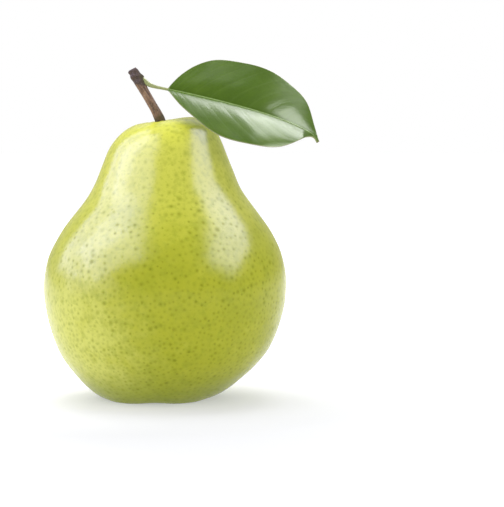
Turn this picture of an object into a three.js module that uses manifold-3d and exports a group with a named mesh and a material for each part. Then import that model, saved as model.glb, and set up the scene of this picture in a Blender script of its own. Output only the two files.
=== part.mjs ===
// A ripe green pear standing on its calyx end: the fruit, its woody stem, the one leaf left on the
// stem, and the dried calyx in the basin underneath.
//
// Millimetres, +Z up, front towards -Y. The origin is on the surface that the pear stands on, below
// the middle of the whole part. Every solid is a skin over a row of equal closed rings of points,
// and the rings follow smooth splines through a few rows of driving sizes.

import * as THREE from 'three';
import { mergeVertices } from 'three/addons/utils/BufferGeometryUtils.js';
import Module from 'manifold-3d';

// ---- Driving dimensions, in millimetres and radians

const CLEARANCE = 0.3; // left between solids that touch

// Fruit. Each row is [radius, height, shift of the ring towards +X], from the mouth of the calyx
// tube over the basin, the standing rim, the belly and the neck to the mouth of the stem socket.
const FRUIT_ROWS = [
    [2.4, 5.6, -3.0],
    [5.6, 5.0, -3.0],
    [8.5, 2.5, -3.0],
    [14.5, -0.5, -3.0],
    [19.2, 0.0, -2.6],
    [26.8, 6.2, -1.4],
    [34.3, 14.3, -0.6],
    [38.6, 25.3, 0.0],
    [40.3, 38.0, 0.1],
    [38.1, 49.5, 0.5],
    [31.2, 59.6, 0.6],
    [24.8, 67.2, 0.6],
    [22.0, 74.5, 0.8],
    [19.2, 81.5, 0.9],
    [15.8, 88.2, 0.5],
    [9.8, 91.4, -0.2],
    [5.2, 91.1, -1.4],
    [2.4, 90.6, -1.6],
];
const FRUIT_RINGS = 46;
const FRUIT_SIDES = 60;
const CALYX_TUBE_TOP = 9.5;
const OUT_OF_ROUND = 0.012; // a fruit is never quite a circle: share of the radius
const SHOULDER_FROM = 80; // height where the neck starts to tilt into the higher right shoulder
const SHOULDER_TO = 92;
const SHOULDER_TILT = 0.14; // rise for each millimetre towards +X
const LOBES = 5; // low swellings round the basin, which the fruit stands on
const LOBE_HEIGHT = 0.75;
const LOBE_RADIUS = 12;
const LOBE_WIDTH = 6;
const LOBE_AZIMUTH = THREE.MathUtils.degToRad(-54);
const LOBE_FADE = [2, 10]; // heights between which the swellings die away

// Stem. Each row is [x, height, radius], from the bottom of its socket to the cut knob.
const STEM_ROWS = [
    [-0.1, 85.6, 1.2],
    [-0.4, 88.2, 1.45],
    [-1.3, 91.2, 1.8],
    [-3.4, 95.4, 1.45],
    [-6.4, 100.3, 1.4],
    [-8.8, 104.2, 1.55],
    [-9.9, 106.5, 1.75],
    [-10.5, 108.0, 1.5],
];
const STEM_RINGS = 30;
const STEM_SIDES = 16;
const STEM_TOP_SLANT = 0.1; // rise of the cut end for each millimetre towards +X
const SOCKET_FLOOR = 85.0;
const SOCKET_MOUTH = 90.2;
const SOCKET_RINGS = 4;
const LEAF_CUSHION = { height: 103.6, length: 1.2, swell: 0.7 }; // on the stem, below the petiole

// Leaf. The petiole's rows are [x, y, height, radius]. The blade's rows follow the midrib from the
// petiole to the tip: [x, y, height, half width of the upper half, half width of the lower half].
const PETIOLE_ROWS = [
    [-5.3, -0.5, 103.0, 0.75],
    [-4.4, -0.7, 102.5, 0.62],
    [-2.7, -1.0, 102.1, 0.48],
    [-0.8, -1.4, 101.7, 0.43],
    [1.2, -2.0, 101.3, 0.43],
];
const PETIOLE_RINGS = 10;
const BLADE_ROWS = [
    [1.2, -2.0, 101.3, 0.5, 0.5],
    [2.6, -2.5, 101.1, 5.0, 2.2],
    [6.0, -3.5, 100.4, 11.1, 5.6],
    [10.8, -4.7, 99.3, 14.3, 10.2],
    [16.9, -5.7, 97.9, 15.9, 14.8],
    [23.8, -6.3, 96.1, 16.9, 17.0],
    [30.6, -6.2, 94.2, 16.3, 17.2],
    [36.9, -5.4, 92.1, 15.1, 15.0],
    [42.2, -3.9, 90.0, 12.8, 9.6],
    [45.9, -2.3, 88.2, 9.6, 3.8],
    [48.3, -1.1, 86.8, 2.8, 0.6],
    [49.5, -0.4, 85.6, 0.5, 0.5],
    [50.3, 0.2, 84.1, 0.45, 0.45],
];
const BLADE_RINGS = 58;
const BLADE_COLUMNS = [1, 0.78, 0.54, 0.28, 0.08, 0, -0.08, -0.28, -0.54, -0.78, -1];
const BLADE_THICKNESS = 0.7;
const MIDRIB_DEPTH = 0.5; // how far the midrib stands out below the blade at its base
const MIDRIB_HALF_WIDTH = 0.9;
const BLADE_FACES_UP = THREE.MathUtils.degToRad(44); // from facing the front to facing up
const BLADE_RISE = 0.36; // each half rises from the midrib by this share of its width
const BLADE_DROOP = 0.24; // and droops again towards the margin
const UPPER_STRAIGHT_FROM = 0.5; // share of the upper half's width beyond which it runs straight
const LOWER_HALF_CUP = 0.45; // extra rise of the lower half towards the base and the tip
const TIP_OPENS = { from: 0.72, to: 0.88, fall: 0.5 }; // where the lower half folds flat again
const MARGIN_WAVE = { upper: 0.24, lower: 0.4, count: 4.5 };

// Calyx. A sepal's rows are [distance out from the tube, height, half width].
const CALYX_CENTRE_X = -3.0;
const CALYX_PLUG = { radius: 2.0, top: 9.0, bottom: 4.6, sides: 20 };
const SEPAL_ROWS = [
    [1.0, 5.6, 1.1],
    [2.6, 4.7, 1.4],
    [4.4, 3.5, 1.35],
    [5.6, 2.3, 0.9],
    [6.0, 1.3, 0.3],
];
const SEPALS = 5;
const SEPAL_RINGS = 8;
const SEPAL_THICKNESS = 0.8;
const SEPAL_COLUMNS = [1, 0.4, -0.4, -1];

// ---- Shared shapes

const UP = new THREE.Vector3(0, 0, 1);

/** Rows of numbers along a uniform cubic B-spline that starts and ends on its first and last row. */
function spline(rows, steps) {
    const spans = rows.length - 1;
    const beyond = (end, next) => end.map((value, k) => 2 * value - next[k]);
    const control = [beyond(rows[0], rows[1]), ...rows, beyond(rows[spans], rows[spans - 1])];
    const at = (step) => {
        const along = (step / steps) * spans;
        const first = Math.min(Math.floor(along), spans - 1);
        const u = along - first;
        const weights = [
            (1 - u) ** 3 / 6,
            (3 * u ** 3 - 6 * u ** 2 + 4) / 6,
            (-3 * u ** 3 + 3 * u ** 2 + 3 * u + 1) / 6,
            u ** 3 / 6,
        ];
        return rows[0].map((_, k) => weights.reduce((sum, w, i) => sum + w * control[first + i][k], 0));
    };
    return Array.from({ length: steps + 1 }, (_, step) => at(step));
}

/** Closed geometry skinned over rings of equal length, with a fan over the first and last ring. */
function skin(rings) {
    const sides = rings[0].length;
    const middle = (ring) => ring.reduce((sum, p) => sum.add(p), new THREE.Vector3()).divideScalar(sides);
    const points = [...rings.flat(), middle(rings[0]), middle(rings.at(-1))];
    const startCentre = points.length - 2;
    const endCentre = points.length - 1;
    const lastRing = (rings.length - 1) * sides;
    const faces = [];
    for (let side = 0; side < sides; side += 1) {
        const next = (side + 1) % sides;
        for (let row = 0; row < lastRing; row += sides) {
            faces.push(row + side, row + next, row + sides + next);
            faces.push(row + side, row + sides + next, row + sides + side);
        }
        faces.push(startCentre, next, side);
        faces.push(endCentre, lastRing + side, lastRing + next);
    }
    const geometry = new THREE.BufferGeometry().setFromPoints(points);
    geometry.setIndex(faces);
    return geometry;
}

/** Angles of a ring's points, evenly spread. */
function angles(count, phase = 0) {
    return Array.from({ length: count }, (_, k) => ((k + phase) / count) * 2 * Math.PI);
}

/** Direction of travel along a list of points, at one of them. */
function heading(points, index) {
    const before = points[Math.max(index - 1, 0)];
    const after = points[Math.min(index + 1, points.length - 1)];
    return after.clone().sub(before).normalize();
}

// ---- Fruit

/** One ring of the fruit's skin: a near circle, tilted at the shoulder and swollen at the lobes. */
function fruitRing([radius, height, shift]) {
    const shoulder = THREE.MathUtils.smoothstep(height, SHOULDER_FROM, SHOULDER_TO);
    const [fadeFrom, fadeTo] = LOBE_FADE;
    const low = THREE.MathUtils.clamp((fadeTo - height) / (fadeTo - fadeFrom), 0, 1);
    const lobe = LOBE_HEIGHT * low * Math.exp(-(((radius - LOBE_RADIUS) / LOBE_WIDTH) ** 2));
    return angles(FRUIT_SIDES).map((angle) => {
        const reach = radius * (1 + OUT_OF_ROUND * Math.sin(2 * angle));
        const tilt = SHOULDER_TILT * shoulder * radius * Math.cos(angle);
        const swell = lobe * Math.cos(LOBES * (angle - LOBE_AZIMUTH));
        return new THREE.Vector3(
            shift + reach * Math.cos(angle),
            reach * Math.sin(angle),
            Math.max(0, height + tilt - swell),
        );
    });
}

/** Plain level circle of points. */
function levelRing(x, radius, height, sides) {
    return angles(sides).map(
        (angle) => new THREE.Vector3(x + radius * Math.cos(angle), radius * Math.sin(angle), height),
    );
}

/** Where the stem's middle is at a height, and how thick the stem is there. */
function stemAt(height) {
    const rows = spline(STEM_ROWS, STEM_RINGS);
    const above = rows.findIndex((row) => row[1] >= height);
    if (above < 1) return rows[0];
    const [low, high] = [rows[above - 1], rows[above]];
    const share = (height - low[1]) / (high[1] - low[1]);
    return low.map((value, k) => THREE.MathUtils.lerp(value, high[k], share));
}

/** The fruit, with the calyx tube in its basin and the socket that holds the stem. */
function fruitGeometry() {
    const tubeRadius = FRUIT_ROWS[0][0];
    const tube = levelRing(CALYX_CENTRE_X, tubeRadius, CALYX_TUBE_TOP, FRUIT_SIDES);
    const outside = spline(FRUIT_ROWS, FRUIT_RINGS).map(fruitRing);
    const socket = Array.from({ length: SOCKET_RINGS }, (_, step) => {
        const height = THREE.MathUtils.lerp(SOCKET_MOUTH, SOCKET_FLOOR, step / (SOCKET_RINGS - 1));
        const [x, , radius] = stemAt(height);
        return levelRing(x, radius + CLEARANCE, height, FRUIT_SIDES);
    });
    return skin([tube, ...outside, ...socket]);
}

// ---- Stem

/** The woody stem: round rings square to its curve, a swelling under the leaf, a slanted cut end. */
function stemGeometry() {
    const rows = spline(STEM_ROWS, STEM_RINGS);
    const centres = rows.map(([x, height]) => new THREE.Vector3(x, 0, height));
    const across = new THREE.Vector3(0, 1, 0);
    const rings = rows.map(([, height, radius], index) => {
        const outwards = across.clone().cross(heading(centres, index));
        const fromCushion = (height - LEAF_CUSHION.height) / LEAF_CUSHION.length;
        const swell = LEAF_CUSHION.swell * Math.exp(-(fromCushion ** 2));
        const slant = index === STEM_RINGS ? STEM_TOP_SLANT : 0;
        return angles(STEM_SIDES).map((angle) => {
            const reach = radius + swell * Math.max(0, Math.cos(angle)) ** 2;
            return centres[index]
                .clone()
                .addScaledVector(outwards, reach * Math.cos(angle))
                .addScaledVector(across, reach * Math.sin(angle))
                .addScaledVector(UP, slant * reach * Math.cos(angle));
        });
    });
    return skin(rings);
}

// ---- Leaf

/** Directions at a point of the leaf: out of its upper face, and across it towards the upper half. */
function leafFrame(along) {
    const facing = new THREE.Vector3(0, -Math.cos(BLADE_FACES_UP), Math.sin(BLADE_FACES_UP));
    const out = facing.addScaledVector(along, -facing.dot(along)).normalize();
    return { out, across: out.clone().cross(along) };
}

/** Ring of the petiole: an oval of as many points as a ring of the blade has. */
function petioleRing(centre, along, radius) {
    const { out, across } = leafFrame(along);
    return angles(2 * BLADE_COLUMNS.length, 0.5).map((angle) => centre
        .clone()
        .addScaledVector(across, radius * Math.cos(angle))
        .addScaledVector(out, radius * Math.sin(angle)));
}

/** Ring of the blade: its upper face from one margin to the other, and back along its lower face. */
function bladeRing(centre, along, upper, lower, share) {
    const { out, across } = leafFrame(along);
    const ends = (2 * share - 1) ** 2;
    const open = THREE.MathUtils.smoothstep(share, TIP_OPENS.from, TIP_OPENS.to);
    const swing = (1 - ends) * Math.sin(2 * Math.PI * MARGIN_WAVE.count * share);
    const point = (column, face) => {
        const reach = Math.abs(column);
        const above = column > 0;
        const width = above ? upper : lower;
        const cup = above ? 0 : LOWER_HALF_CUP * ends * (1 - open) - TIP_OPENS.fall * open;
        const straight = above ? Math.max(0, reach - UPPER_STRAIGHT_FROM) : 0;
        const droop = BLADE_DROOP * (reach ** 2 - straight ** 2);
        const wave = (above ? MARGIN_WAVE.upper : MARGIN_WAVE.lower) * swing * reach ** 2;
        const lift = width * ((BLADE_RISE + cup) * reach - droop) + wave;
        const rib = MIDRIB_DEPTH * (1 - share) * Math.exp(-((width * column / MIDRIB_HALF_WIDTH) ** 2));
        const thickness = face > 0 ? BLADE_THICKNESS / 2 : -BLADE_THICKNESS / 2 - rib;
        return centre
            .clone()
            .addScaledVector(across, width * column)
            .addScaledVector(out, lift + thickness);
    };
    return [
        ...BLADE_COLUMNS.map((column) => point(column, 1)),
        ...BLADE_COLUMNS.toReversed().map((column) => point(column, -1)),
    ];
}

/** The leaf in one piece: the petiole runs on into the blade's midrib. */
function leafGeometry() {
    const petiole = spline(PETIOLE_ROWS, PETIOLE_RINGS);
    const blade = spline(BLADE_ROWS, BLADE_RINGS);
    const centres = [...petiole.slice(0, -1), ...blade].map((row) => new THREE.Vector3(...row.slice(0, 3)));
    const rings = centres.map((centre, index) => {
        const along = heading(centres, index);
        if (index < PETIOLE_RINGS) return petioleRing(centre, along, petiole[index][3]);
        const step = index - PETIOLE_RINGS;
        return bladeRing(centre, along, blade[step][3], blade[step][4], step / BLADE_RINGS);
    });
    return skin(rings);
}

// ---- Calyx

/** One dried sepal, curling down and out from the tube. */
function sepalGeometry(azimuth) {
    const rows = spline(SEPAL_ROWS, SEPAL_RINGS);
    const outwards = new THREE.Vector3(Math.cos(azimuth), Math.sin(azimuth), 0);
    const across = UP.clone().cross(outwards);
    const centres = rows.map(([reach, height]) => outwards.clone().multiplyScalar(reach).setZ(height));
    const rings = rows.map(([, , halfWidth], index) => {
        const along = heading(centres, index);
        const out = across.clone().cross(along);
        const point = (column, face) => centres[index]
            .clone()
            .addScaledVector(across, halfWidth * column)
            .addScaledVector(out, (face * SEPAL_THICKNESS) / 2)
            .add(new THREE.Vector3(CALYX_CENTRE_X, 0, 0));
        return [
            ...SEPAL_COLUMNS.map((column) => point(column, -1)),
            ...SEPAL_COLUMNS.toReversed().map((column) => point(column, 1)),
        ];
    });
    return skin(rings);
}

/** The sepals fused to the plug of dried flower that fills the calyx tube. */
function calyxGeometry(wasm) {
    const { radius, top, bottom, sides } = CALYX_PLUG;
    const plug = skin([bottom, top].map((height) => levelRing(CALYX_CENTRE_X, radius, height, sides)));
    const sepals = angles(SEPALS).map((angle) => sepalGeometry(angle + LOBE_AZIMUTH));
    const solids = [plug, ...sepals].map((geometry) => toSolid(wasm, geometry));
    return toGeometry(solids.reduce((sum, solid) => sum.add(solid)));
}

// ---- Booleans

function toSolid(wasm, geometry) {
    const welded = mergeVertices(geometry);
    return new wasm.Manifold(new wasm.Mesh({
        numProp: 3,
        vertProperties: new Float32Array(welded.attributes.position.array),
        triVerts: new Uint32Array(welded.index.array),
    }));
}

function toGeometry(solid) {
    const mesh = solid.getMesh();
    const geometry = new THREE.BufferGeometry();
    geometry.setAttribute('position', new THREE.BufferAttribute(mesh.vertProperties, mesh.numProp));
    geometry.setIndex(new THREE.BufferAttribute(mesh.triVerts, 1));
    return geometry;
}

// ---- The part

function piece(name, geometry, color, roughness) {
    geometry.computeVertexNormals();
    const mesh = new THREE.Mesh(geometry, new THREE.MeshStandardMaterial({ color, roughness, metalness: 0 }));
    mesh.name = name;
    return mesh;
}

const wasm = await Module();
wasm.setup();

const pear = new THREE.Group();
pear.add(
    piece('fruit', fruitGeometry(), '#b9bc45', 0.38),
    piece('stem', stemGeometry(), '#6e5243', 0.75),
    piece('leaf', leafGeometry(), '#4d6b28', 0.4),
    piece('calyx', calyxGeometry(wasm), '#4a3a2a', 0.9),
);

const middle = new THREE.Box3().setFromObject(pear, true).getCenter(new THREE.Vector3());
pear.position.set(-middle.x, -middle.y, 0);

export default pear;
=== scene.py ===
"""A ripe green pear with its woody stem, its one leaf and its dried calyx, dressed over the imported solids.

Sizes in the classes are millimetres from the pear's own upright axis, on the surface that it stands on,
with +Z up and the front towards -Y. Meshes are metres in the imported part's frame.
"""

import logging
import math
from dataclasses import dataclass
from enum import Enum
from typing import Any

import bpy
import numpy as np
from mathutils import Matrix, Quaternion, Vector

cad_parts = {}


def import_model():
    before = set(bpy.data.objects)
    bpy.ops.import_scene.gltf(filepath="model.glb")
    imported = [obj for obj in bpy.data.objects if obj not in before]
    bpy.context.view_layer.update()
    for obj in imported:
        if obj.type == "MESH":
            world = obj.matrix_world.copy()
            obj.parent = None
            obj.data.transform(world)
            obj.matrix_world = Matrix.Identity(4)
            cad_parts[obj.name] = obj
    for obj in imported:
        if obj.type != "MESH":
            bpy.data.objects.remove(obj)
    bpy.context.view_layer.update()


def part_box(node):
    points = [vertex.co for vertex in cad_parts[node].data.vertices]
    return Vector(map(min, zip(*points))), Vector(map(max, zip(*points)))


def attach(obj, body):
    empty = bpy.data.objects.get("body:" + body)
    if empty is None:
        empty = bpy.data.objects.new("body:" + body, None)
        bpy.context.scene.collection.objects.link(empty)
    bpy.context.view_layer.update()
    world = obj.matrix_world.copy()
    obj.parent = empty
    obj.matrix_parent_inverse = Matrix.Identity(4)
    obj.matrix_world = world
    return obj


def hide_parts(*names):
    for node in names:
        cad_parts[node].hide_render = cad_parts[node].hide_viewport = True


MM = 0.001
LOG = logging.getLogger("pear")
Array = np.ndarray
Colour = tuple[float, float, float, float]
Rows = tuple[tuple[float, ...], ...]
Span = tuple[float, float]
Spot = tuple[float, float, float]


# ---- Shapes worked out as whole arrays


def spline(rows: Rows, along: Array) -> Array:
    """Points along a uniform cubic B-spline that starts and ends on its first and last row.

    One row mirrored beyond each end is added. A point u of the way along a span is four rows weighted
    (1 - u)^3 / 6, (3u^3 - 6u^2 + 4) / 6, (-3u^3 + 3u^2 + 3u + 1) / 6 and u^3 / 6.

    Args:
        rows: Driving rows of equal length.
        along: Places on the whole spline, from 0 to 1.

    Returns:
        One row for each place.
    """
    given = np.asarray(rows, float)
    control = np.vstack([2 * given[0] - given[1], given, 2 * given[-1] - given[-2]])
    spans = len(given) - 1
    place = np.asarray(along, float) * spans
    first = np.minimum(place.astype(int), spans - 1)
    u = (place - first)[:, None]
    weights = (
        (1 - u) ** 3 / 6,
        (3 * u**3 - 6 * u**2 + 4) / 6,
        (-3 * u**3 + 3 * u**2 + 3 * u + 1) / 6,
        u**3 / 6,
    )
    return sum(weight * control[first + k] for k, weight in enumerate(weights))


def even_places(rows: Rows, count: int, columns: int) -> Array:
    """Places on a spline that cut it into stretches of equal length.

    Args:
        rows: Driving rows of the spline.
        count: Number of places, with both ends.
        columns: How many leading columns are lengths.

    Returns:
        Places from 0 to 1.
    """
    fine = np.linspace(0, 1, 30 * count)
    points = spline(rows, fine)[:, :columns]
    length = np.concatenate([[0], np.cumsum(np.linalg.norm(np.diff(points, axis=0), axis=1))])
    return np.interp(np.linspace(0, length[-1], count), length, fine)


def ease(value: Array, low: float, high: float) -> Array:
    """Smooth step 3t^2 - 2t^3 from 0 at low to 1 at high."""
    t = np.clip((value - low) / (high - low), 0, 1)
    return t * t * (3 - 2 * t)


def bell(value: Array, middle: float, width: float) -> Array:
    """Bell curve exp(-((value - middle) / width)^2)."""
    return np.exp(-(((value - middle) / width) ** 2))


def headings(points: Array) -> Array:
    """Unit directions of travel along a row of points, by central differences."""
    travel = np.gradient(points, axis=0)
    return travel / np.linalg.norm(travel, axis=-1, keepdims=True)


def outwards(rings: Array) -> Array:
    """Unit normals of a grid of rings: the direction round each ring crossed with the direction along.

    Args:
        rings: Grid of shape (rings, points of a ring, 3).

    Returns:
        One unit vector for each point.
    """
    along = np.gradient(rings, axis=0)
    around = np.roll(rings, -1, axis=1) - np.roll(rings, 1, axis=1)
    normal = np.cross(around, along)
    return normal / np.maximum(np.linalg.norm(normal, axis=-1, keepdims=True), 1e-9)


def turns(sides: int) -> Array:
    """Angles of a ring's points, evenly spread."""
    return np.arange(sides) * 2 * math.pi / sides


def bands(centres: Array, across: Array, out: Array, shape: tuple[Array, Array, Array, Array]) -> Array:
    """Rings of a thin band or an oval rod: centre + across * reach + out * (lift +- half).

    Args:
        centres: Middle of each ring, (n, 3).
        across: Sideways direction of each ring, (n, 3).
        out: Direction out of the upper face, (n, 3).
        shape: Sideways reach, lift, and half thickness of the upper and of the lower face, each
            (n, columns), from the +across edge to the -across edge.

    Returns:
        Rings of 2 * columns points: the upper face, then the lower face on the way back.
    """
    reach, lift, above, below = (part[..., None] for part in shape)
    middle = centres[:, None] + across[:, None] * reach + out[:, None] * lift
    upper = middle + out[:, None] * above
    lower = middle - out[:, None] * below
    return np.concatenate([upper, lower[:, ::-1]], axis=1)


def level_rings(x: Array, radius: Array, height: Array, angle: Array) -> Array:
    """Plain level circles: x + radius cos a, radius sin a, height.

    Args:
        x: Middle of each circle along X.
        radius: Radius of each circle.
        height: Height of each circle.
        angle: Angles of the points of a circle.

    Returns:
        Grid of shape (circles, angles, 3).
    """
    x, radius, height = (value[:, None] for value in (x, radius, height))
    circle = (x + radius * np.cos(angle), radius * np.sin(angle), height + 0 * angle)
    return np.stack(circle, axis=-1)


def rounded(column: Array, power: Array) -> Array:
    """Height of a superellipse over its width: (1 - |column|^power)^(1 / power)."""
    return np.maximum(0, 1 - np.abs(column) ** power) ** (1 / power)


@dataclass(frozen=True)
class Ripples:
    """A smooth irregular field: the mean of plane waves in random directions."""

    seed: int
    wavelength: float
    waves: int = 14

    def at(self, points: Array) -> Array:
        """The field: the sum of sin(way . point / pace + phase) over the waves.

        Args:
            points: Places of shape (..., 3), in millimetres.

        Returns:
            Values that lie roughly between -1 and 1.
        """
        random = np.random.default_rng(self.seed)
        ways = random.normal(size=(3, self.waves))
        ways /= np.linalg.norm(ways, axis=0)
        pace = 2 * math.pi / (self.wavelength * random.uniform(0.7, 1.4, self.waves))
        phase = random.uniform(0, 2 * math.pi, self.waves)
        return np.sin(points @ (ways * pace) + phase).sum(-1) * math.sqrt(1.2 / self.waves)


# ---- Meshes


def unwrapped(count: int, sides: int) -> Array:
    """UV map of the skin over one grid of rings: u runs round a ring, and v along the rings.

    Args:
        count: Number of rings.
        sides: Points of a ring.

    Returns:
        A pair for each corner of the quads, of the first fan and of the last fan.
    """
    row, side = np.mgrid[0:count - 1, 0:sides]
    quad_u = np.stack([side, side + 1, side + 1, side], axis=-1) / sides
    quad_v = np.stack([row, row, row + 1, row + 1], axis=-1) / (count - 1)
    side = np.arange(sides)
    first_u = np.stack([side + 0.5, side + 1, side], axis=-1) / sides
    last_u = np.stack([side + 0.5, side, side + 1], axis=-1) / sides
    pairs = ((quad_u, quad_v), (first_u, 0 * first_u), (last_u, 0 * last_u + 1))
    return np.vstack([np.stack(pair, axis=-1).reshape(-1, 2) for pair in pairs])


def skin_object(name: str, grids: list[Array]) -> bpy.types.Object:
    """Closed skins over grids of rings, in one mesh.

    Quads join each point of a ring to the next point and to the next ring, and a fan joins each end
    ring to its middle. The UV map runs round the rings and along them.

    Args:
        name: Name of the object.
        grids: Grids of shape (rings, points of a ring, 3), in metres.

    Returns:
        The object, smooth shaded, at the origin.
    """
    points: list[Array] = []
    faces: list[list[int]] = []
    uvs: list[Array] = []
    base = 0
    for rings in grids:
        count, sides = rings.shape[:2]
        index = base + np.arange(count * sides).reshape(count, sides)
        after = np.roll(index, -1, axis=1)
        quads = np.stack([index[:-1], after[:-1], after[1:], index[1:]], axis=-1).reshape(-1, 4)
        start = np.full(sides, base + count * sides)
        first = np.stack([start, after[0], index[0]], axis=-1)
        last = np.stack([start + 1, index[-1], after[-1]], axis=-1)
        points += [rings.reshape(-1, 3), rings[0].mean(0)[None], rings[-1].mean(0)[None]]
        faces += quads.tolist() + first.tolist() + last.tolist()
        uvs.append(unwrapped(count, sides))
        base += count * sides + 2
    mesh = bpy.data.meshes.new(name)
    mesh.from_pydata(np.vstack(points).tolist(), [], faces)
    mesh.uv_layers.new(name="around_along").uv.foreach_set("vector", np.vstack(uvs).ravel())
    mesh.polygons.foreach_set("use_smooth", np.ones(len(faces), bool))
    mesh.update()
    made = bpy.data.objects.new(name, mesh)
    bpy.context.scene.collection.objects.link(made)
    return made


def put_values(target: bpy.types.Object, name: str, values: Array, on_faces: bool = False) -> None:
    """Stores a number or a vector on each point or face of a mesh.

    Args:
        target: The mesh object.
        name: Name of the attribute.
        values: Shape (n,) for numbers or (n, 3) for vectors.
        on_faces: Whether the values belong to faces.
    """
    vector = values.ndim == 2
    kind = "FLOAT_VECTOR" if vector else "FLOAT"
    layer = target.data.attributes.new(name, kind, "FACE" if on_faces else "POINT")
    flat = np.ascontiguousarray(values, np.float32).ravel()
    layer.data.foreach_set("vector" if vector else "value", flat)


def with_ends(values: Array) -> Array:
    """Flat values of a grid of rings, with the two end middles that a skin adds."""
    return np.concatenate([values.ravel(), [values[0].mean(), values[-1].mean()]])


# ---- Shader expressions


class Wire:
    """One output of a node. Arithmetic on it adds the Math nodes that work it out."""

    def __init__(self, graph: "Graph", socket: bpy.types.NodeSocket) -> None:
        """Keeps the graph and the socket."""
        self.graph = graph
        self.socket = socket

    def _math(self, operation: str, *values: "Wire | float") -> "Wire":
        """A Math node over values and wires."""
        return self.graph.node("ShaderNodeMath", {"operation": operation}, dict(enumerate(values)))

    def __add__(self, other: "Wire | float") -> "Wire":
        """This plus the other."""
        return self._math("ADD", self, other)

    def __sub__(self, other: "Wire | float") -> "Wire":
        """This less the other."""
        return self._math("SUBTRACT", self, other)

    def __rsub__(self, other: "Wire | float") -> "Wire":
        """The other less this."""
        return self._math("SUBTRACT", other, self)

    def __mul__(self, other: "Wire | float") -> "Wire":
        """This times the other."""
        return self._math("MULTIPLY", self, other)

    __radd__ = __add__

    def size(self) -> "Wire":
        """This without its sign."""
        return self._math("ABSOLUTE", self)

    def ping(self, half: float) -> "Wire":
        """This folded to and fro between 0 and half."""
        return self._math("PINGPONG", self, half)


class Graph:
    """The node tree of one material."""

    def __init__(self, name: str) -> None:
        """Starts an empty material.

        Args:
            name: Name of the material.
        """
        self.material = bpy.data.materials.new(name)
        self.material.use_nodes = True
        self.tree = self.material.node_tree
        self.tree.nodes.clear()

    def node(
        self,
        kind: str,
        settings: dict[str, Any] | None = None,
        inputs: dict[str | int, Any] | None = None,
        output: str | int = 0,
    ) -> Wire:
        """Adds a node: its settings first, then the values or links of its sockets.

        Args:
            kind: Blender's name of the node type.
            settings: Properties of the node.
            inputs: A value or a wire for each socket, by name or number.
            output: The output wanted.

        Returns:
            That output as a wire.
        """
        node = self.tree.nodes.new(kind)
        for name, value in (settings or {}).items():
            setattr(node, name, value)
        for key, value in (inputs or {}).items():
            if isinstance(value, Wire):
                self.tree.links.new(value.socket, node.inputs[key])
            else:
                node.inputs[key].default_value = value
        return Wire(self, node.outputs[output])

    def place(self) -> Wire:
        """Where a point is on the piece, in metres."""
        return self.node("ShaderNodeTexCoord", output="Object")

    def attribute(self, name: str, output: str = "Fac") -> Wire:
        """A value stored on the mesh."""
        return self.node("ShaderNodeAttribute", {"attribute_name": name}, output=output)

    def noise(self, place: Wire, grain: float, detail: float = 2, roughness: float = 0.5) -> Wire:
        """Noise from 0 to 1 whose blobs are about grain across, in the units of place."""
        sockets = {"Vector": place, "Scale": 1 / grain, "Detail": detail, "Roughness": roughness}
        return self.node("ShaderNodeTexNoise", inputs=sockets)

    def ease(self, value: Wire, low: Wire | float, high: Wire | float) -> Wire:
        """Smooth step of a value from 0 at low to 1 at high."""
        sockets = {"Value": value, "From Min": low, "From Max": high}
        return self.node("ShaderNodeMapRange", {"interpolation_type": "SMOOTHSTEP"}, sockets)

    def mix(self, share: Wire | float, first: Wire | Colour, second: Wire | Colour) -> Wire:
        """Colour from first to second by share."""
        return self.node("ShaderNodeMix", {"data_type": "RGBA"}, {0: share, 6: first, 7: second}, 2)

    def painted(self, colour: Wire | Colour, coats: tuple[tuple[Wire, Wire | Colour], ...]) -> Wire:
        """A colour with others laid over it in turn.

        Args:
            colour: What is painted on.
            coats: The share and the colour of each coat, the first one lowest.

        Returns:
            The colour that shows.
        """
        for share, coat in coats:
            colour = self.mix(share, colour, coat)
        return colour

    def shaded(self, colour: Wire, share: Wire | float) -> Wire:
        """A colour made darker or lighter by a number."""
        return self.node("ShaderNodeVectorMath", {"operation": "SCALE"}, {0: colour, "Scale": share})

    def apart(self, first: Wire, second: Wire | Spot) -> Wire:
        """Distance between two places."""
        settings = {"operation": "DISTANCE"}
        return self.node("ShaderNodeVectorMath", settings, {0: first, 1: second}, "Value")

    def bump(self, height: Wire, depth: float, below: Wire | None = None) -> Wire:
        """Normal over a relief.

        Args:
            height: The relief, from 0 to 1.
            depth: How high 1 stands, in metres.
            below: Normal of a coarser relief that this one lies on.

        Returns:
            The normal.
        """
        sockets = {"Height": height, "Strength": 1.0, "Distance": depth}
        if below is not None:
            sockets["Normal"] = below
        return self.node("ShaderNodeBump", inputs=sockets)

    def close(self, sockets: dict[str, Any]) -> bpy.types.Material:
        """Ends the material in a Principled surface.

        Args:
            sockets: A value or a wire for each socket of the surface that isn't left as it comes.

        Returns:
            The finished material.
        """
        surface = self.node("ShaderNodeBsdfPrincipled", inputs=sockets)
        output = self.tree.nodes.new("ShaderNodeOutputMaterial")
        self.tree.links.new(surface.socket, output.inputs["Surface"])
        return self.material


# ---- Finishes


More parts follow.
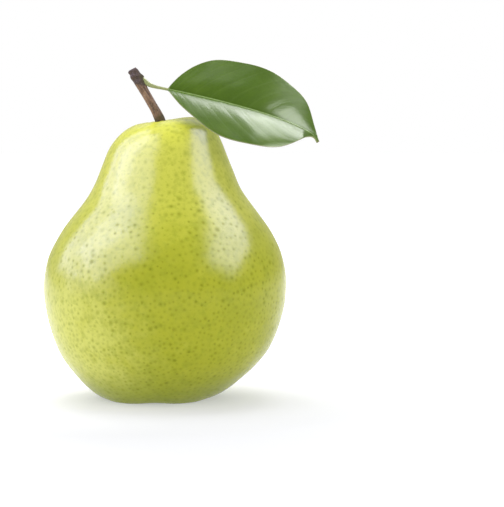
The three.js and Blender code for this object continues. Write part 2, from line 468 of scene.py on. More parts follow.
@dataclass(frozen=True)
class PearSkin:
    """Waxy yellow-green skin with dark lenticels, russet at the stem and brown in the basin, and painted
    light: a lighter top and a paler patch low on the left.
    """

    belly: Colour = (0.398, 0.414, 0.017, 1)
    neck: Colour = (0.556, 0.566, 0.070, 1)
    # Painted light: the top of the pear is made lighter, as if lit from above.
    painted_top_light: Colour = (0.665, 0.675, 0.068, 1)
    pale: Colour = (0.540, 0.540, 0.050, 1)
    # Painted light: a paler patch low on the left, where more light falls.
    painted_light: Colour = (0.610, 0.620, 0.125, 1)
    green: Colour = (0.205, 0.260, 0.008, 1)
    dot: Colour = (0.155, 0.165, 0.004, 1)
    russet: Colour = (0.300, 0.210, 0.040, 1)
    basin: Colour = (0.060, 0.045, 0.012, 1)
    # The lighter neck is partly the skin's own yellower colour and partly painted light from above.
    gradient: Span = (40.0, 84.0)  # heights in mm between belly green and neck yellow
    painted_top_light_heights: Span = (0.080, 0.091)  # metres, as the sizes that follow
    bottom_heights: Span = (0.0, 0.014)
    painted_light_place: Spot = (-0.033, -0.020, 0.022)
    painted_light_reach: Span = (0.008, 0.036)  # distances over which the painted light low on the left fades
    russet_reach: Span = (0.0022, 0.0060)
    basin_reach: Span = (0.0035, 0.0085)
    cloud_size: float = 0.019
    patch_size: float = 0.0065
    mottle_size: float = 0.0024
    fleck_size: float = 0.0011
    gradient_wander: float = 0.035  # how far the patches move each border
    painted_light_wander: float = 0.016
    russet_wander: float = 0.006
    basin_wander: float = 0.004
    dot_edge_size: float = 0.0006
    dot_raggedness: float = 0.00045
    dot_relief: float = 0.00003
    dot_dulling: float = 0.42  # share of the wax's gloss that a dot takes away
    roughness: float = 0.60
    wax_roughness: float = 0.23
    wax_refraction: float = 1.36

    def made(self, stem_foot: Vector, basin: Vector) -> bpy.types.Material:
        """The material of the fruit.

        Args:
            stem_foot: Where the stem leaves the skin, in metres.
            basin: Mouth of the calyx tube, in metres.

        Returns:
            The finished material.
        """
        graph = Graph("pear_skin")
        place = graph.place()
        height = graph.node("ShaderNodeSeparateXYZ", inputs={0: place}, output="Z")
        cloud = graph.noise(place, self.cloud_size, 2.5)
        patch = graph.noise(place, self.patch_size, 2)
        mottle = graph.noise(place, self.mottle_size, 2)
        fleck = graph.noise(place, self.fleck_size, 1, 0.6)
        low, high = (value * MM for value in self.gradient)
        risen = height + (cloud - 0.5) * self.gradient_wander
        # Painted light: a paler patch low on the left, where more light falls, with weaker lenticels in it.
        painted_light_distance = graph.apart(place, self.painted_light_place) + (patch - 0.5) * self.painted_light_wander
        painted_light_share = 1 - graph.ease(painted_light_distance, *self.painted_light_reach)
        # A coat is where it lies times how strong it is there, and its colour.
        colour = graph.painted(self.belly, (
            # belly to neck: partly the skin's colour, partly painted light from above
            (graph.ease(risen, low, high), self.neck),
            # painted light: the top lighter, as if lit from above
            (graph.ease(height, *self.painted_top_light_heights) * 0.9, self.painted_top_light),
            # painted light: paler low on the left, where more light falls
            (painted_light_share, self.painted_light),
            (graph.ease(patch, 0.52, 0.80) * 0.32, self.pale),
            (graph.ease(1 - cloud, 0.50, 0.74) * 0.16, self.green),
            ((1 - graph.ease(height, *self.bottom_heights)) * 0.55, self.green),
            (graph.ease(mottle, 0.46, 0.72) * 0.25, self.green),
            (graph.ease(fleck, 0.54, 0.74) * 0.26, self.green),
        ))
        colour = graph.shaded(colour, 0.92 + fleck * 0.18)

        away = graph.apart(place, graph.attribute("dot_centre", "Vector"))
        radius = graph.attribute("dot_radius")
        # The lenticels are weaker under the painted light low on the left.
        tone = graph.attribute("dot_tone") * (1 - painted_light_share * 0.25)
        ragged = away + (graph.noise(place, self.dot_edge_size, 1) - 0.5) * self.dot_raggedness
        core = 1 - graph.ease(ragged, radius * 0.10, radius * 1.60)
        halo = 1 - graph.ease(away, radius * 0.8, radius * 2.8)
        spot = (core + halo * 0.6) * tone
        foot = graph.apart(place, tuple(stem_foot)) + (patch - 0.5) * self.russet_wander
        russet = 1 - graph.ease(foot, *self.russet_reach)
        bottom = graph.apart(place, tuple(basin)) + (patch - 0.5) * self.basin_wander
        brown = 1 - graph.ease(bottom, *self.basin_reach)
        colour = graph.painted(colour, (
            (halo * tone * 0.60, self.green),
            (core * tone, self.dot),
            (russet * 0.55, self.russet),
            (brown * 0.85, self.basin),
        ))
        return graph.close({
            "Base Color": colour,
            "Roughness": self.roughness,
            "Specular IOR Level": 0.0,
            "Coat Weight": (1 - graph.ease(spot, 0.0, 0.55) * self.dot_dulling) * (1 - brown * 0.8),
            "Coat Roughness": self.wax_roughness,
            "Coat IOR": self.wax_refraction,
            "Normal": graph.bump(core * tone, self.dot_relief),
        })


@dataclass(frozen=True)
class Bark:
    """Red-brown bark with long streaks, a dark knob, and olive where the leaf and the fruit join it."""

    warm: Colour = (0.270, 0.168, 0.110, 1)
    dark: Colour = (0.100, 0.062, 0.040, 1)
    tan: Colour = (0.430, 0.330, 0.245, 1)
    knob: Colour = (0.064, 0.048, 0.042, 1)
    cut: Colour = (0.125, 0.100, 0.088, 1)
    olive: Colour = (0.064, 0.056, 0.016, 1)
    speck_size: float = 0.0006  # metres, as the reliefs
    streak_relief: float = 0.00012
    fine_relief: float = 0.00008
    roughness: float = 0.62
    refraction: float = 1.20

    def made(self) -> bpy.types.Material:
        """The material of the stem.

        Returns:
            The finished material.
        """
        graph = Graph("stem_bark")
        grain = graph.attribute("grain", "Vector")
        place = graph.place()
        streak = graph.noise(grain, 0.9, 4, 0.6)
        fine = graph.noise(grain, 0.28, 3, 0.65)
        speck = graph.noise(place, self.speck_size, 3, 0.65)
        knob = graph.ease(graph.attribute("knob") + (streak - 0.5) * 0.3, 0.25, 0.7)
        colour = graph.painted(self.dark, (
            (graph.ease(streak, 0.36, 0.62), self.warm),
            (graph.ease(fine, 0.52, 0.74) * 0.65, self.tan),
            (knob * 0.85, graph.mix(graph.ease(speck, 0.45, 0.75), self.knob, self.cut)),
            (graph.ease(graph.attribute("cut"), 0.3, 0.8) * 0.75, self.cut),
            (graph.ease(graph.attribute("joint"), 0.06, 0.60) * 0.90, self.olive),
            (graph.ease(graph.attribute("foot"), 0.1, 0.7) * 0.75, self.olive),
        ))
        lines = graph.bump(streak, self.streak_relief)
        return graph.close({
            "Base Color": graph.shaded(colour, 0.80 + speck * 0.40),
            "Roughness": self.roughness + (speck - 0.5) * 0.3,
            "IOR": self.refraction,
            "Normal": graph.bump(fine * 0.6 + speck * 0.4, self.fine_relief, lines),
        })


@dataclass(frozen=True)
class LeafGreen:
    """Glossy leaf: dark green above with paler veins, grey-green below, light olive stalk."""

    blade: Colour = (0.061, 0.121, 0.006, 1)
    lighter: Colour = (0.087, 0.157, 0.008, 1)
    vein: Colour = (0.150, 0.235, 0.060, 1)
    rib: Colour = (0.270, 0.390, 0.130, 1)
    margin: Colour = (0.330, 0.340, 0.170, 1)
    tip: Colour = (0.190, 0.130, 0.060, 1)
    under: Colour = (0.165, 0.240, 0.085, 1)
    under_vein: Colour = (0.280, 0.350, 0.150, 1)
    stalk: Colour = (0.300, 0.330, 0.145, 1)
    cloud_size: float = 0.011  # metres, as the sizes that follow
    cell_size: float = 0.0009
    net_size: float = 0.0016
    relief: float = 0.00002
    roughness: float = 0.24
    refraction: float = 1.31

    def made(self) -> bpy.types.Material:
        """The material of the leaf.

        Returns:
            The finished material.
        """
        graph = Graph("leaf_green")
        place = graph.place()
        across = graph.attribute("across")
        along = graph.attribute("along")
        phase = graph.attribute("vein")
        margin = graph.attribute("margin")
        under = graph.attribute("underside")
        blade = graph.ease(along, 0.004, 0.03)
        cloud = graph.noise(place, self.cloud_size, 2)
        cell = graph.noise(place, self.cell_size, 3, 0.6)
        cells = {"Vector": place, "Scale": 1 / self.net_size}
        net = graph.node("ShaderNodeTexVoronoi", {"feature": "DISTANCE_TO_EDGE"}, cells, "Distance")
        netting = 1 - graph.ease(net, 0.02, 0.16)
        fold = phase.ping(0.5)
        vein = (1 - graph.ease(fold, 0.012, 0.10)) * (1 - graph.ease(across.size(), 12.0, 17.0) * 0.7)
        strands = graph.node("ShaderNodeCombineXYZ", inputs={0: phase * 3.0, 1: across * 0.16})
        streak = graph.noise(strands, 1.0, 2)
        rib = 1 - graph.ease(across.size(), 0.06, 0.30)

        top = graph.painted(self.blade, (
            (graph.ease(cloud, 0.35, 0.75) * 0.6, self.lighter),
            (netting * 0.10, self.lighter),
        ))
        top = graph.painted(graph.shaded(top, 0.86 + streak * 0.28), (
            (vein * 0.09, self.vein),
            (rib * (1 - graph.ease(along, 0.6, 0.95) * 0.7), self.rib),
        ))
        below = graph.painted(self.under, (
            (netting * 0.35, self.under_vein),
            (vein * 0.8, self.under_vein),
            (1 - graph.ease(across.size(), 0.5, 1.1), self.rib),
        ))
        colour = graph.mix(under, top, below)
        edge = 1 - graph.ease(margin + (cell - 0.5) * 0.15, 0.10, 0.34)
        colour = graph.mix(edge * 0.75, colour, self.margin)
        colour = graph.mix(blade, self.stalk, colour)
        colour = graph.mix(graph.ease(along, 0.975, 1.0) * 0.8, colour, self.tip)
        colour = graph.shaded(colour, 0.90 + cell * 0.20)

        return graph.close({
            "Base Color": colour,
            "Roughness": self.roughness + under * 0.28 + (cell - 0.5) * 0.10,
            "IOR": self.refraction,
            "Normal": graph.bump(cell * 0.25 - netting * 0.2 - vein * 0.35, self.relief),
        })


@dataclass(frozen=True)
class DriedFlower:
    """Brown papery remains of the flower, paler on their ridges."""

    deep: Colour = (0.028, 0.018, 0.010, 1)
    light: Colour = (0.190, 0.130, 0.070, 1)
    coarse_size: float = 0.0016  # metres, as the sizes that follow
    fine_size: float = 0.0004
    relief: float = 0.00012
    roughness: float = 0.8
    refraction: float = 1.45

    def made(self) -> bpy.types.Material:
        """The material of the calyx.

        Returns:
            The finished material.
        """
        graph = Graph("dried_flower")
        place = graph.place()
        coarse = graph.noise(place, self.coarse_size, 3, 0.6)
        fine = graph.noise(place, self.fine_size, 3, 0.7)
        ridge = graph.ease(coarse * 0.6 + fine * 0.4, 0.42, 0.68)
        return graph.close({
            "Base Color": graph.mix(ridge, self.deep, self.light),
            "Roughness": self.roughness + (fine - 0.5) * 0.2,
            "IOR": self.refraction,
            "Normal": graph.bump(fine, self.relief),
        })


@dataclass(frozen=True)
class PaleFloor:
    """Matt white floor with painted light: its emission glows under the pear, which lightens the pear's
    shadow, and far from it, and less between.
    """

    # A little blue, which cancels the yellow light that the pear throws on the floor.
    white: Colour = (0.605, 0.610, 0.625, 1)
    # Painted light: a glow under the pear that lightens its shadow.
    under_glow: Colour = (0.38, 0.38, 0.41, 1)
    near_glow: Colour = (0.11, 0.11, 0.115, 1)
    far_glow: Colour = (0.46, 0.455, 0.44, 1)
    under: Span = (0.020, 0.085)  # distances in metres between under_glow and near_glow
    under_place: Spot = (-0.018, 0.0, 0.0)
    middle: Spot = (0.035, -0.050, 0.0)
    spread: Span = (0.065, 0.160)  # distances from the middle between near and far

    def made(self) -> bpy.types.Material:
        """The material of the floor.

        Returns:
            The finished material.
        """
        graph = Graph("pale_floor")
        place = graph.place()
        below = graph.ease(graph.apart(place, self.under_place), *self.under)
        away = graph.ease(graph.apart(place, self.middle), *self.spread)
        # Painted light: the glow under the pear lightens its shadow.
        glow = graph.mix(below, self.under_glow, self.near_glow)
        return graph.close({
            "Base Color": self.white,
            "Roughness": 1.0,
            "Specular IOR Level": 0.0,
            "Emission Color": graph.mix(away, glow, self.far_glow),
            "Emission Strength": 1.0,
        })


# ---- The fruit


@dataclass(frozen=True)
class Lenticels:
    """Breathing spots of the skin: closer and smaller low on the belly than on the neck."""

    seed: int = 11
    spacing: Span = (1.95, 2.70)  # low on the belly, and on the neck
    between: Span = (18.0, 66.0)
    radius: Span = (0.34, 0.36)
    fade: float = 0.48  # how much weaker the spots of the neck are
    fades: Span = (58.0, 78.0)  # heights between which they grow weaker
    weakest: float = 0.14
    stronger: float = 0.34  # what the strongest has above the weakest
    unevenness: float = 0.26
    row_gap: float = 0.87  # of the spacing, as in a honeycomb
    jitter: float = 0.75
    push: float = 0.45
    settling: int = 2

    def scatter(self, rings: Array) -> tuple[Array, Array, Array]:
        """Spreads the spots over a grid of rings.

        Bands one spacing apart get evenly spaced spots, which are moved at random and then pushed away
        from any neighbour that is nearer than the spacing, in the grid's own rows and columns.

        Args:
            rings: The grid, in millimetres.

        Returns:
            Centres on the grid, radii in millimetres, and strengths from 0 to 1.
        """
        random = np.random.default_rng(self.seed)
        sides = rings.shape[1]
        index = np.arange(len(rings), dtype=float)
        girth = np.linalg.norm(np.roll(rings, -1, axis=1) - rings, axis=2).sum(1)
        rise = np.linalg.norm(np.gradient(rings, axis=0), axis=2).mean(1)
        wanted = self._by_height(rings[..., 2].mean(1), self.spacing)
        crossed = np.concatenate([[0], np.cumsum((rise / wanted)[1:])]) / self.row_gap
        band = np.arange(0.5, crossed[-1])
        band_row = np.interp(band, crossed, index)
        count = np.rint(np.interp(band_row, index, girth / wanted)).astype(int).clip(1)
        which = np.repeat(np.arange(len(band)), count)
        order = np.arange(count.sum()) - np.repeat(np.cumsum(count) - count, count)
        loose = random.uniform(-self.jitter, self.jitter, (2, len(which)))
        row = np.interp(band[which] + loose[0], crossed, index)
        column = (order + 0.5 * (which % 2) + loose[1]) / count[which] * sides
        for _ in range(self.settling):
            row, column = self._settled(row, column, (index, rise, girth / sides, wanted), sides)
        centres = sampled(rings, row, column)
        size = self._by_height(centres[:, 2], self.radius)
        size = size * np.exp(random.normal(0, self.unevenness, len(size))).clip(0.5, 1.8)
        strength = self.weakest + self.stronger * random.uniform(0, 1, len(size)) ** 1.5
        return centres, size, strength * (1 - self.fade * ease(centres[:, 2], *self.fades))

    def _by_height(self, height: Array, ends: Span) -> Array:
        """A size that eases from the belly to the neck."""
        return ends[0] + (ends[1] - ends[0]) * ease(height, *self.between)

    def _settled(
        self,
        row: Array,
        column: Array,
        grid: tuple[Array, ...],
        sides: int,
    ) -> tuple[Array, Array]:
        """Moves every spot away from those nearer than its spacing.

        Args:
            row: Row of each spot.
            column: Column of each spot.
            grid: Row numbers, and at each row the millimetres to the next row, the millimetres to the
                next column, and the spacing wanted.
            sides: Columns in the grid.

        Returns:
            The new rows and columns.
        """
        index, rise, step, wanted = grid
        up, side, gap = (np.interp(row, index, values) for values in (rise, step, wanted))
        apart_up = (row[:, None] - row) * up[:, None]
        apart_side = ((column[:, None] - column + sides / 2) % sides - sides / 2) * side[:, None]
        distance = np.hypot(apart_up, apart_side) + 1e-6
        push = np.clip(1 - distance / gap[:, None], 0, 0.9) * gap[:, None] / distance * self.push
        np.fill_diagonal(push, 0)
        row = np.clip(row + (push * apart_up).sum(1) / up, 0, index[-1])
        return row, column + (push * apart_side).sum(1) / side


def sampled(rings: Array, row: Array, column: Array) -> Array:
    """Points of a grid of rings between its own rows and columns, by bilinear steps.

    Args:
        rings: The grid.
        row: Row of each point, whole or between two rows.
        column: Column of each point, which wraps round.

    Returns:
        One point for each row and column given.
    """
    low = np.clip(row.astype(int), 0, len(rings) - 2)
    left = np.floor(column).astype(int)
    up = (row - low)[:, None]
    right = (column - left)[:, None]
    left, beside = left % rings.shape[1], (left + 1) % rings.shape[1]
    lower = rings[low, left] * (1 - right) + rings[low, beside] * right
    upper = rings[low + 1, left] * (1 - right) + rings[low + 1, beside] * right
    return lower * (1 - up) + upper * up


def nearest(places: Array, centres: Array, block_size: int = 4000) -> Array:
    """Finds the centre nearest to each place: the least |centre|^2 - 2 place . centre.

    Args:
        places: Points of shape (n, 3).
        centres: Points of shape (m, 3).
        block_size: About how many places are compared at a time.

    Returns:
        Number of the nearest centre for each place.
    """
    lengths = (centres**2).sum(1)
    blocks = np.array_split(places, max(1, len(places) // block_size))
    return np.concatenate([(lengths - 2 * block @ centres.T).argmin(1) for block in blocks])


@dataclass(frozen=True)
class Fruit:
    """Flesh and skin: a spline profile turned into near circles, with basin, lobes and stem cavity."""

    # Radius, height, and shift of the ring towards +X, from the calyx tube to the stem.
    rows: Rows = (
        (2.4, 5.6, -3.0), (5.6, 5.0, -3.0), (8.5, 2.5, -3.0), (14.5, -0.5, -3.0), (19.2, 0.0, -2.6),
        (26.8, 6.2, -1.4), (34.3, 14.3, -0.6), (38.6, 25.3, 0.0), (40.3, 38.0, 0.1), (38.1, 49.5, 0.5),
        (31.2, 59.6, 0.6), (24.8, 67.2, 0.6), (22.0, 74.5, 0.8), (19.2, 81.5, 0.9), (15.8, 88.2, 0.5),
        (9.8, 91.4, -0.2), (5.2, 91.1, -1.4), (2.4, 90.6, -1.6),
    )
    sides: int = 324
    steps: int = 284
    tube_top: float = 9.5
    tube_gap: float = 0.3  # left between the tube and the first ring of the outside
    tube_steps: int = 8
    out_of_round: float = 0.012
    shoulder: Span = (80.0, 92.0)
    shoulder_tilt: float = 0.14
    lobes: int = 5
    lobe_height: float = 0.75
    lobe_radius: float = 12.0
    lobe_width: float = 6.0
    lobe_azimuth: float = math.radians(-54)
    lobe_fade: Span = (2.0, 10.0)
    socket_steps: int = 8
    socket_heights: Span = (90.2, 85.0)
    socket_bite: float = 0.08  # how far the socket closes into the stem
    swell: Ripples = Ripples(3, 30.0)
    swell_height: float = 0.13
    dimple: Ripples = Ripples(8, 9.0)
    dimple_height: float = 0.035
    wander: Ripples = Ripples(21, 14.0)
    basin_folds: int = 10
    basin_fold_height: float = 0.28
    basin_fold_place: Span = (5.6, 2.2)  # radius, and how far from it the folds die away
    lip_folds: int = 9
    lip_fold_height: float = 0.16
    lip_fold_place: Span = (4.6, 1.7)
    lenticels: Lenticels = Lenticels()
    bare_rings: tuple[int, int] = (14, 4)  # rings without lenticels at the tube and at the stem

    def outside(self) -> Array:
        """Rings of the skin from the calyx tube to the stem, in millimetres.

        A ring is x = shift + reach cos a, y = reach sin a, with reach = radius (1 + out_of_round sin 2a),
        and z = height + tilt radius cos a above the shoulder - lobe cos(lobes (a - azimuth)) round the
        rim, and never below the surface that the pear stands on.

        Returns:
            Grid of shape (steps, sides, 3).
        """
        radius, height, shift = spline(self.rows, even_places(self.rows, self.steps, 2)).T[..., None]
        angle = turns(self.sides)
        fade_from, fade_to = self.lobe_fade
        low = np.clip((fade_to - height) / (fade_to - fade_from), 0, 1)
        lobe = self.lobe_height * low * bell(radius, self.lobe_radius, self.lobe_width)
        reach = radius * (1 + self.out_of_round * np.sin(2 * angle))
        tilt = self.shoulder_tilt * ease(height, *self.shoulder) * radius * np.cos(angle)
        swell = lobe * np.cos(self.lobes * (angle - self.lobe_azimuth))
        rise = height + tilt - swell
        rings = np.stack([shift + reach * np.cos(angle), reach * np.sin(angle), rise], axis=-1)
        rings += outwards(rings) * self.relief(rings, radius, angle)[..., None]
        rings[..., 2] = np.maximum(0, rings[..., 2])
        return rings

    def relief(self, rings: Array, radius: Array, angle: Array) -> Array:
        """How far the skin stands out: broad swells and small dimples everywhere but on the rim, and
        folds cos(n a) round the basin and round the stem.

        Args:
            rings: The smooth grid.
            radius: Radius of each ring.
            angle: Angle of each point of a ring.

        Returns:
            Millimetres outwards for each point.
        """
        height = rings[..., 2]
        calm = ease(height, 1.0, 9.0) * ease(radius, 2.4, 6.0)
        broad = self.swell_height * self.swell.at(rings) + self.dimple_height * self.dimple.at(rings)
        wander = self.wander.at(rings) * 0.5
        below = (1 - ease(height, 20.0, 30.0)) * bell(radius, *self.basin_fold_place)
        basin = self.basin_fold_height * below * np.cos(self.basin_folds * angle + wander)
        above = ease(height, 60.0, 80.0) * bell(radius, *self.lip_fold_place)
        lip = self.lip_fold_height * above * np.cos(self.lip_folds * angle + 2 * wander)
        return calm * broad + basin + lip

    def rings(self, stem: "Stem") -> Array:
        """All rings of the closed skin: calyx tube, outside, and the cavity drawn tight to the stem.

        Args:
            stem: The stem that the cavity closes on.

        Returns:
            One grid, from the top of the tube to the bottom of the socket.
        """
        angle = turns(self.sides)
        radius, mouth, centre = self.rows[0]
        heights = np.linspace(self.tube_top, mouth + self.tube_gap, self.tube_steps)
        same = np.ones_like(heights)
        tube = level_rings(centre * same, radius * same, heights, angle)
        heights = np.linspace(*self.socket_heights, self.socket_steps)
        middle = stem.at(heights)
        socket = level_rings(middle[:, 0], middle[:, 2] - self.socket_bite, heights, angle)
        return np.concatenate([tube, self.outside(), socket])

    def build(self, stem: "Stem", move: Array) -> bpy.types.Object:
        """Makes the fruit and stores the nearest lenticel on every face.

        Args:
            stem: The stem that the cavity closes on.
            move: From the pear's axis to the part's frame, in millimetres.

        Returns:
            The object, without a material.
        """
        rings = self.rings(stem) + move
        made = skin_object("pear_skin", [rings * MM])
        at_tube, at_stem = self.bare_rings
        open_skin = rings[self.tube_steps + at_tube: -self.socket_steps - at_stem]
        centres, radius, tone = self.lenticels.scatter(open_skin)
        middle = np.empty(3 * len(made.data.polygons), np.float32)
        made.data.polygons.foreach_get("center", middle)
        which = nearest(middle.reshape(-1, 3).astype(float), centres * MM)
        dots = {"dot_centre": centres * MM, "dot_radius": radius * MM, "dot_tone": tone}
        for name, values in dots.items():
            put_values(made, name, values[which], on_faces=True)
        LOG.info("pear skin: %d faces, %d lenticels", len(made.data.polygons), len(centres))
        return made


# ---- The stem


@dataclass(frozen=True)
class Stem:
    """Woody stem: rings square to a curve, ridged, flared at its foot, with a dented knob at its top."""

    # Distance from the axis towards +X, height and radius, from the bottom of the socket to the knob.
    rows: Rows = (
        (-0.1, 85.6, 1.2), (-0.4, 88.2, 1.45), (-1.3, 91.2, 1.8), (-3.4, 95.4, 1.45), (-6.4, 100.3, 1.4),
        (-8.6, 104.0, 1.62), (-9.7, 106.2, 1.68), (-10.2, 107.4, 1.50), (-10.45, 108.0, 1.15),
    )
    steps: int = 200
    sides: int = 96
    cap_steps: int = 14
    skin_place: Span = (-1.3, 91.2)  # where it leaves the skin: distance towards +X, and height
    slant: float = 0.1
    slant_heights: Span = (106.5, 108.0)
    cushion_height: float = 103.9
    cushion_length: float = 1.9
    cushion_swell: float = 0.60
    foot_heights: Span = (91.0, 94.0)
    knob_heights: Span = (102.4, 105.2)
    aged_heights: Span = (101.2, 104.4)
    grain_radius: float = 2.2
    grain_stretch: float = 0.28
    ridge_height: float = 0.07
    ridges: Ripples = Ripples(31, 2.6)
    fine_ridges: Ripples = Ripples(32, 1.3)
    lump_height: float = 0.16
    lumps: Ripples = Ripples(33, 2.4)
    dish: float = 0.45
    pit_depth: float = 0.12
    pits: Ripples = Ripples(35, 1.3)

    def at(self, heights: Array) -> Array:
        """Rows of the stem at given heights, by straight steps between finely spaced rows."""
        rows = spline(self.rows, np.linspace(0, 1, 400))
        return np.stack([np.interp(heights, rows[:, 1], column) for column in rows.T], axis=-1)

    def build(self, move: Array) -> bpy.types.Object:
        """Makes the stem.

        A ring is centre + (u cos a + v sin a) reach, with u and v square to the curve, and reach =
        radius + cushion max(0, cos a)^2 + ridges along the bark + lumps on the knob. The points also
        store where the bark is aged, cut, swollen under the leaf's stalk, and green at the foot.

        Args:
            move: From the pear's axis to the part's frame, in millimetres.

        Returns:
            The object, without a material.
        """
        rows = spline(self.rows, even_places(self.rows, self.steps, 2))
        x, height, radius = rows.T
        centres = np.stack([x, 0 * x, height], axis=-1)
        along = headings(centres)
        side = np.array([0.0, 1.0, 0.0])
        out = np.cross(side, along)
        angle = turns(self.sides)
        cosine, sine = np.cos(angle), np.sin(angle)
        none = 0 * height
        rise = height[:, None] + 0 * angle
        grain = level_rings(none, none + self.grain_radius, height * self.grain_stretch, angle)
        knob = ease(rise, *self.knob_heights)
        joint = bell(rise, self.cushion_height, self.cushion_length) * np.maximum(0, cosine) ** 2
        foot = 1 - ease(rise, *self.foot_heights)
        ridges = self.ridges.at(grain) + 0.5 * self.fine_ridges.at(grain)
        lumps = self.lumps.at(level_rings(none, radius, height, angle))
        reach = radius[:, None] + self.cushion_swell * joint + self.ridge_height * ridges * (1 - 0.4 * foot)
        reach += self.lump_height * knob * lumps
        rings = centres[:, None] + out[:, None] * (reach * cosine)[..., None]
        rings = rings + side * (reach * sine)[..., None]
        rings[..., 2] += ease(rise, *self.slant_heights) * self.slant * reach * cosine

        share = np.linspace(1, 0, self.cap_steps + 1)[1:-1, None, None]
        cap = self._cap(rings[-1], along[-1], share)
        made = skin_object("stem_bark", [(np.concatenate([rings, cap]) + move) * MM])

        ends = np.ones((len(cap), self.sides))
        lift = np.repeat(grain[-1:], len(cap), axis=0) + (1 - share) * np.array([0, 0, 2.0])
        grains = np.concatenate([grain, lift]).reshape(-1, 3)
        put_values(made, "grain", np.vstack([grains, grain[0].mean(0), grain[-1].mean(0) + [0, 0, 2]]))
        marks = {
            "knob": (ease(rise + 1.1 * cosine, *self.aged_heights), ends),
            "cut": (0 * knob, ends * ease(1 - share[..., 0], 0.0, 0.3)),
            "joint": (joint, 0 * ends),
            "foot": (foot, 0 * ends),
        }
        for name, on_bark_and_cap in marks.items():
            put_values(made, name, with_ends(np.concatenate(on_bark_and_cap)))
        LOG.info("stem bark: %d faces", len(made.data.polygons))
        return made

    def _cap(self, rim: Array, along: Array, share: Array) -> Array:
        """The cut end: the last ring drawn in to its middle, pitted, and sunk by dish (1 - share^2).

        Args:
            rim: The last ring.
            along: Which way the stem points there.
            share: Size of each new ring against the last one, of shape (rings, 1, 1).

        Returns:
            The new rings.
        """
        middle = rim.mean(0)
        cap = middle + (rim - middle) * share
        depth = self.dish * (1 - share[..., 0] ** 2) + self.pit_depth * self.pits.at(cap)
        return cap - along * depth[..., None] * ease(1 - share, 0.0, 0.25)


# ---- The leaf


